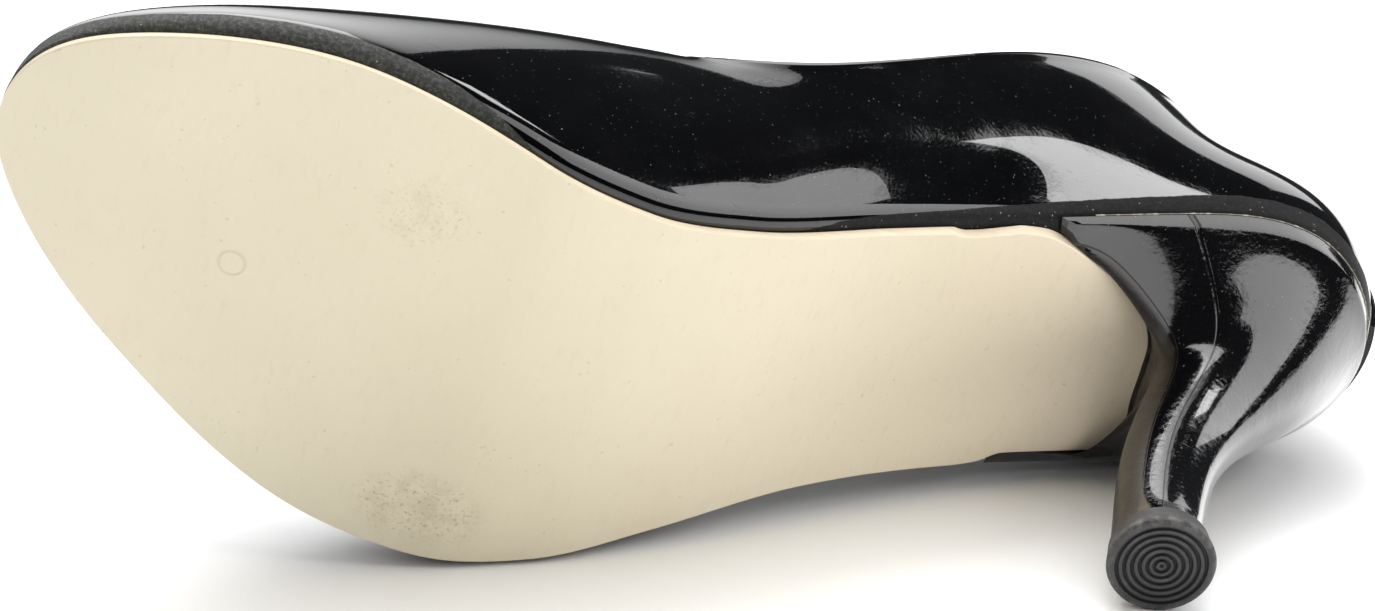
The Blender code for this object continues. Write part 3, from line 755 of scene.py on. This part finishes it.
# %% [markdown]
# ## The heel
#
# The heel is a stack of loops: three for the cup under the seat, with a wing on each side, and then rounded
# sections down to the tip. Smooth lines drawn down through the loops make the skin, and many rounds of
# averaging take out the kinks, so that reflections flow over it. The rim of the cup and the front beside the
# flap are left as they are, so that heel and flap stay clear of each other.

# %% Loops of the heel
CUP = (
    # out, side in, drop, inner wing, outer wing, share of the flap's slant
    (1.4, 0.0, 0.0, 64.0, 59.0, 1.3), (1.0, 0.6, 2.2, 61.5, 54.0, 1.8), (-0.8, 2.2, 5.6, 56.0, 45.0, 0.2),
)
HEEL = (
    # front x, back x, front z, back z, inner, outer, corner in degrees from the front
    (38.4, 5.2, 57.0, 65.0, 16.2, 16.0, 18), (39.8, 11.4, 51.0, 56.4, 12.0, 11.8, 27),
    (42.4, 18.4, 44.0, 47.6, 9.4, 9.2, 35), (44.8, 25.2, 35.5, 37.8, 7.9, 7.9, 40),
    (47.0, 30.4, 25.5, 26.8, 7.2, 7.3, 42), (48.4, 32.6, 14.8, 15.4, 7.1, 7.2, 42),
    (49.5, 34.1, 4.9, 4.9, 7.7, 7.7, 42),
)
SIDE, FRONT, STEPS = 121, 131, 9  # points round the back, points across the front, rows from loop to loop
ROUNDS = 240
LIFT_X, LIFT_Y = 41.8, -1.0
WING_START, WING_LENGTH = 25.0, 40.0
front_shares = (np.arange(FRONT) + 1) / (FRONT + 1)
FLAP_SHARE = front_shares[39]  # the flap ends at the same point of every cup loop


def cup_loop(out, side_in, drop, inner_wing, outer_wing, slant):
    """Round the seat from wing to wing, and back along the edge of the flap."""
    turns = np.linspace(turn_of(inner_wing), -turn_of(outer_wing), SIDE)
    narrow = np.clip(outline(turns)[0][:, 0] / WING_START, 0, 1)
    side = outline(turns, out - side_in * narrow)[0]
    outer_x, inner_x = np.linspace(outer_wing, FLAP_END, 120), np.linspace(FLAP_END, inner_wing, 160)
    both_x = np.concatenate([outer_x, inner_x])
    xs = both_x - slant * FLAP_SLANT * curl(both_x) - FLAP_GAP
    ys = np.concatenate([sole_edges(outer_x)[1] - FLAP_GAP, sole_edges(inner_x)[0] + FLAP_GAP])
    run = np.concatenate([[0], np.cumsum(np.hypot(np.diff(xs), np.diff(ys)))])
    spread = np.interp(front_shares, [0, FLAP_SHARE, 1], [0, run[len(outer_x) - 1], run[-1]])
    front = np.column_stack([np.interp(spread, run, values) for values in (xs, ys)])
    plan = np.concatenate([side, front])
    wing = np.clip((plan[:, 0] - WING_START) / WING_LENGTH, 0, 1)
    seat = tread_z(plan[:, 0]) + SOLE_THICK * steep(plan[:, 0])
    return np.column_stack([plan, seat - drop * (1 - 0.5 * wing)])


def section_loop(front_x, back_x, front_z, back_z, inner_half, outer_half, corner):
    """An oval across the heel, with its points shared out between back and front at the corners."""
    bend = math.radians(corner)
    turns = np.concatenate([np.linspace(bend, 2 * math.pi - bend, SIDE), bend * (2 * front_shares - 1)])
    across = np.sin(turns)
    x = (front_x + back_x) / 2 + (front_x - back_x) / 2 * np.cos(turns)
    z = back_z + (front_z - back_z) * (x - back_x) / (front_x - back_x)
    y = np.where(across > 0, inner_half, outer_half) * across + LIFT_Y * (HEEL_HEIGHT - z) / HEEL_HEIGHT
    return np.column_stack([x, y, z])


loops = np.array([cup_loop(*row) for row in CUP] + [section_loop(*row) for row in HEEL])
rows = np.linspace(0, len(loops) - 1, (len(loops) - 1) * STEPS + 1)
heel_grid = smooth_curve(np.arange(len(loops)), loops)(rows)
# How many rows from the top averaging leaves alone: more of them in front, beside the flap.
kept = STEPS * np.concatenate([np.ones(SIDE), 1 + 2 * np.sin(math.pi * front_shares) ** 0.5])
ease = np.clip((np.arange(1, len(rows) - 1)[:, None] - kept) / (2 * STEPS), 0, 1)[..., None]
for _ in range(ROUNDS):
    around = (np.roll(heel_grid, 1, axis=1) + np.roll(heel_grid, -1, axis=1))[1:-1] / 2
    down = (heel_grid[:-2] + heel_grid[2:]) / 2
    still = heel_grid[1:-1]
    heel_grid[1:-1] = still + ease * (0.5 * (around - still) + 0.15 * (down - still))
print("heel skin:", heel_grid.shape[0], "levels of", heel_grid.shape[1], "points")

# %% [markdown]
# ## The heel's cover
#
# The cover is the same black patent, stretched over a block and so a little more rippled, like orange peel.
# Its seam runs down the inner side, and its front is duller and painted dark brown, a painted reflection of the
# cream sole. The UV map says where round the heel a point is, so the seam is a thin line at one place and the
# front is a range of places.

# %% Cover and heel
SEAM = 0.053


def heel_cover(name):
    paint = Paint(name)
    around_heel, down = paint.chart()
    peel = paint.noise(1050.0, 3.0, 0.55)
    ripple = paint.noise(120.0, 2.0)
    line = 1.0 - (around_heel - SEAM).math("ABSOLUTE").ramp(0.0006, 0.0022)
    scuff = paint.noise(300.0, 5.0, 0.7).ramp(0.6, 0.75) * down.ramp(0.55, 0.95)
    black = paint.mix(paint.noise(80.0, 4.0), srgb(4, 4, 5), srgb(10, 9, 11))
    black = paint.mix(scuff * 0.35, black, srgb(70, 66, 64))
    specks = paint.noise(2100.0, 1.0).ramp(0.74, 0.78)
    # The front (breast) is duller, and painted dark brown: a painted reflection of the cream sole.
    breast_dull_painted_reflection = around_heel.ramp(0.478, 0.490) * (1.0 - around_heel.ramp(0.985, 0.998))
    black = paint.mix(breast_dull_painted_reflection * 0.8, black, srgb(34, 27, 23))
    paint.set(Base_Color=paint.mix(specks * 0.6, black, srgb(120, 114, 106)))
    gloss = (1.0 - scuff * 0.5 - line * 0.6) * (1.0 - breast_dull_painted_reflection)
    paint.set(Roughness=0.07 + scuff * 0.25 + specks * 0.3 + breast_dull_painted_reflection * 0.3, Coat_Weight=gloss)
    height = ripple * 0.7 + peel * 0.20 - line * 0.8
    return paint.set(Normal=paint.bump(height, 0.00035), Coat_Roughness=0.03)


columns = SIDE + FRONT
faces = grid_faces(len(heel_grid), columns, True)
faces.append(tuple(range(columns)))
faces.append(tuple((len(heel_grid) - 1) * columns + c for c in range(columns)))
chart = np.stack(np.meshgrid(np.arange(columns) / columns, np.linspace(0, 1, len(heel_grid))), -1)
skin(
    "shoe_heel", heel_grid.reshape(-1, 3), faces, [heel_cover("heel_cover")], "heel",
    chart.reshape(-1, 2), sharp=60,
)

# %% [markdown]
# ## The rubber tip
#
# The tip is turned: a profile of radius and height, spun round. Six rings and a dot are pressed into its
# tread, and its rim is worn. The grooves and the dot are painted near-black, as painted shade.

# %% The tip
RINGS = (1.1, 2.2, 3.4, 4.6, 5.8, 7.0)
GROOVE = 0.40


def rubber(name):
    paint = Paint(name)
    grain = paint.noise(1700.0, 4.0, 0.65)
    px, py, pz = paint.split(paint.place())
    radius = ((px - LIFT_X * MM) ** 2.0 + (py - LIFT_Y * MM) ** 2.0) ** 0.5
    rim = radius.ramp(0.0074, 0.0086) * (1.0 - pz.ramp(0.0006, 0.0024))
    worn = paint.noise(520.0, 4.0, 0.7).ramp(0.4, 0.62) * rim
    dust = paint.noise(260.0, 4.0, 0.65).ramp(0.45, 0.75)
    grey = paint.mix(dust * 0.5, srgb(58, 58, 59), srgb(90, 89, 88))
    grey = paint.mix(worn * 0.5, grey, srgb(120, 116, 110))
    # Painted shade: the recessed rings and the dot are painted near-black.
    grey = paint.mix(pz.ramp(0.00006, 0.0003) * (1.0 - radius.ramp(0.0075, 0.0078)), grey, srgb(20, 20, 21))
    paint.set(Base_Color=grey, Roughness=0.55 + grain * 0.2)
    return paint.set(Normal=paint.bump(grain + worn * 0.6, 0.00016, 0.7))


profile = [(0.0, 0.3), (0.22, 0.3), (0.4, 0.0)]  # radius and height, from the dot outwards
for ring in RINGS:
    profile += [(ring - 0.36, 0.0), (ring - 0.16, GROOVE), (ring + 0.16, GROOVE), (ring + 0.36, 0.0)]
profile += [
    (7.9, 0.0), (8.25, 0.08), (8.5, 0.3), (8.6, 0.6), (8.55, 1.1), (8.25, 2.6), (8.1, 4.0), (8.0, 4.6),
    (0.0, 4.6),
]
profile = np.array(profile)
SPIN = 112
spin = np.linspace(0, 2 * math.pi, SPIN, endpoint=False)
ring_points = np.stack([
    LIFT_X + profile[:, :1] * np.cos(spin), LIFT_Y + profile[:, :1] * np.sin(spin),
    np.broadcast_to(profile[:, 1:], (len(profile), SPIN)),
], -1)
tip_skin = skin(
    "shoe_tip", ring_points.reshape(-1, 3), grid_faces(len(profile), SPIN, True), [rubber("tip_rubber")],
    "top_lift", sharp=35,
)
weld = bmesh.new()
weld.from_mesh(tip_skin.data)
bmesh.ops.remove_doubles(weld, verts=weld.verts, dist=1e-6)
weld.to_mesh(tip_skin.data)
weld.free()

# %% [markdown]
# ## A line of old cement
#
# Where the heel meets the seat, a little dried cement shows as a broken pale line. It is a thin bead whose
# thickness comes and goes.

# %% Cement
def cement(name):
    paint = Paint(name)
    crumb = paint.noise(1600.0, 4.0, 0.7)
    paint.set(Base_Color=paint.mix(crumb, srgb(150, 142, 126), srgb(206, 198, 180)), Roughness=0.75)
    return paint.set(Normal=paint.bump(crumb, 0.0003))


BEAD_FROM, BEAD_TO = 58.0, 10.0  # x on the inner side and on the outer side
BEAD_OUT, BEAD_UP = 1.55, 0.12
SIDES = 6
turns = np.linspace(turn_of(BEAD_FROM), -turn_of(BEAD_TO), 420)
plan = outline(turns, BEAD_OUT)[0]
line = np.column_stack([plan, tread_z(plan[:, 0]) + SOLE_THICK * steep(plan[:, 0]) + BEAD_UP])
run = np.concatenate([[0], np.cumsum(np.linalg.norm(np.diff(line, axis=0), axis=1))])
wave = np.sin(run * 1.7) + np.sin(run * 0.63 + 1.0) + 0.8 * np.sin(run * 4.1 + 2.0)
fat = 0.05 + 0.11 * np.clip(wave / 2.4, 0, 1)
ahead = np.gradient(line, axis=0)
ahead /= np.linalg.norm(ahead, axis=1, keepdims=True)
side = np.cross(ahead, [0, 0, 1.0])
rise = np.cross(side, ahead)
round_bead = np.linspace(0, 2 * math.pi, SIDES, endpoint=False)[None, :, None]
tube = side[:, None] * np.cos(round_bead) + rise[:, None] * np.sin(round_bead)
tube = line[:, None] + fat[:, None, None] * tube
last = (len(line) - 1) * SIDES
faces = grid_faces(len(line), SIDES, True)
faces += [tuple(range(SIDES)), tuple(range(last, last + SIDES))]
skin("seat_cement", tube.reshape(-1, 3), faces, [cement("dried_cement")])

# %% [markdown]
# ## Floor, light and camera
#
# The floor is one pale sheet. Patent leather shows whatever is round it, so the lights are soft panels placed
# where their reflections fall on the shoe, and the air between them is dim. Two large panels are there for the
# floor and the sole: they are hidden from reflections, which keeps the patent black. The camera looks from
# the sole's side, a little above the floor. Its place and direction are given for the standing shoe, and
# `LAY` brings them along.

# %% The floor
def floor_paint():
    paint = Paint("floor_paper")
    tone = paint.noise(3.0, 2.0)
    return paint.set(Base_Color=paint.mix(tone, srgb(244, 244, 244), srgb(250, 250, 250)), Roughness=0.75)


bpy.ops.mesh.primitive_plane_add(size=14.0, location=(0.0, 0.0, 0.0))
floor = bpy.context.object
floor.name = "floor"
floor.data.materials.append(floor_paint())

# %% The lights
LIGHTS = (
    # name, azimuth, elevation, distance, width, height, roll, spread, brightness, mirrored in the patent
    ("overhead", 90.0, 80.0, 1.7, 2.4, 2.2, 0.0, 180.0, 2.3, False),
    ("front", -72.0, 28.0, 1.6, 1.6, 1.0, 0.0, 180.0, 1.65, False),
    ("lip", 106.0, 66.0, 1.7, 1.2, 1.1, 0.0, 180.0, 3.2, True),
    ("back", 104.0, 38.0, 1.7, 1.85, 1.9, 0.0, 72.0, 0.55, True),
    ("rim", 60.0, 17.0, 1.6, 0.34, 0.5, 0.0, 180.0, 1.3, True),
    ("right", 0.0, 31.6, 1.5, 1.8, 0.9, -20.0, 180.0, 2.4, True),
    ("window", 38.5, 45.7, 1.5, 0.27, 0.2, 20.0, 180.0, 5.4, True),
)
AIM_AT = Vector((0.0, 0.0, 0.05))
AIR_COLOUR, AIR_STRENGTH = (0.9, 0.95, 1.0, 1.0), 0.035
for name, azimuth, elevation, distance, width, height, roll, spread, brightness, mirrored in LIGHTS:
    flat, tall = math.radians(azimuth), math.radians(elevation)
    away = Vector((math.cos(tall) * math.cos(flat), math.cos(tall) * math.sin(flat), math.sin(tall)))
    panel = bpy.data.lights.new(name, "AREA")
    panel.shape = "RECTANGLE"
    panel.size, panel.size_y, panel.spread = width, height, math.radians(spread)
    panel.energy = brightness * math.pi * width * height
    holder = bpy.data.objects.new(name, panel)
    holder.visible_glossy = mirrored
    bpy.context.scene.collection.objects.link(holder)
    aim = away.to_track_quat("Z", "Y").to_matrix().to_4x4() @ Matrix.Rotation(math.radians(roll), 4, "Z")
    holder.matrix_world = Matrix.Translation(away * distance + AIM_AT) @ aim
world = bpy.data.worlds.new("air")
bpy.context.scene.world = world
world.use_nodes = True
air = world.node_tree.nodes["Background"]
air.inputs["Color"].default_value = AIR_COLOUR
air.inputs["Strength"].default_value = AIR_STRENGTH
print(len(LIGHTS), "soft panels")

# %% The camera
CAMERA_PLACE = Vector((219.7, 325.5, -527.9)) * MM
RIGHT = Vector((-0.9499, 0.3124, 0.0125)).normalized()
BACK = Vector((0.1514, 0.4946, -0.8558)).normalized()
lens = bpy.data.cameras.new("camera")
lens.sensor_width = 36.0
lens.lens = 108.0
camera = bpy.data.objects.new("camera", lens)
bpy.context.scene.collection.objects.link(camera)
UP = BACK.cross(RIGHT).normalized()
facing = Matrix((UP.cross(BACK), UP, BACK)).transposed().to_4x4()
facing.translation = CAMERA_PLACE
camera.matrix_world = LAY @ facing
bpy.context.scene.camera = camera
bpy.context.scene.view_settings.view_transform = "Standard"
print("camera stands", round(camera.matrix_world.translation.z, 3), "m over the floor")
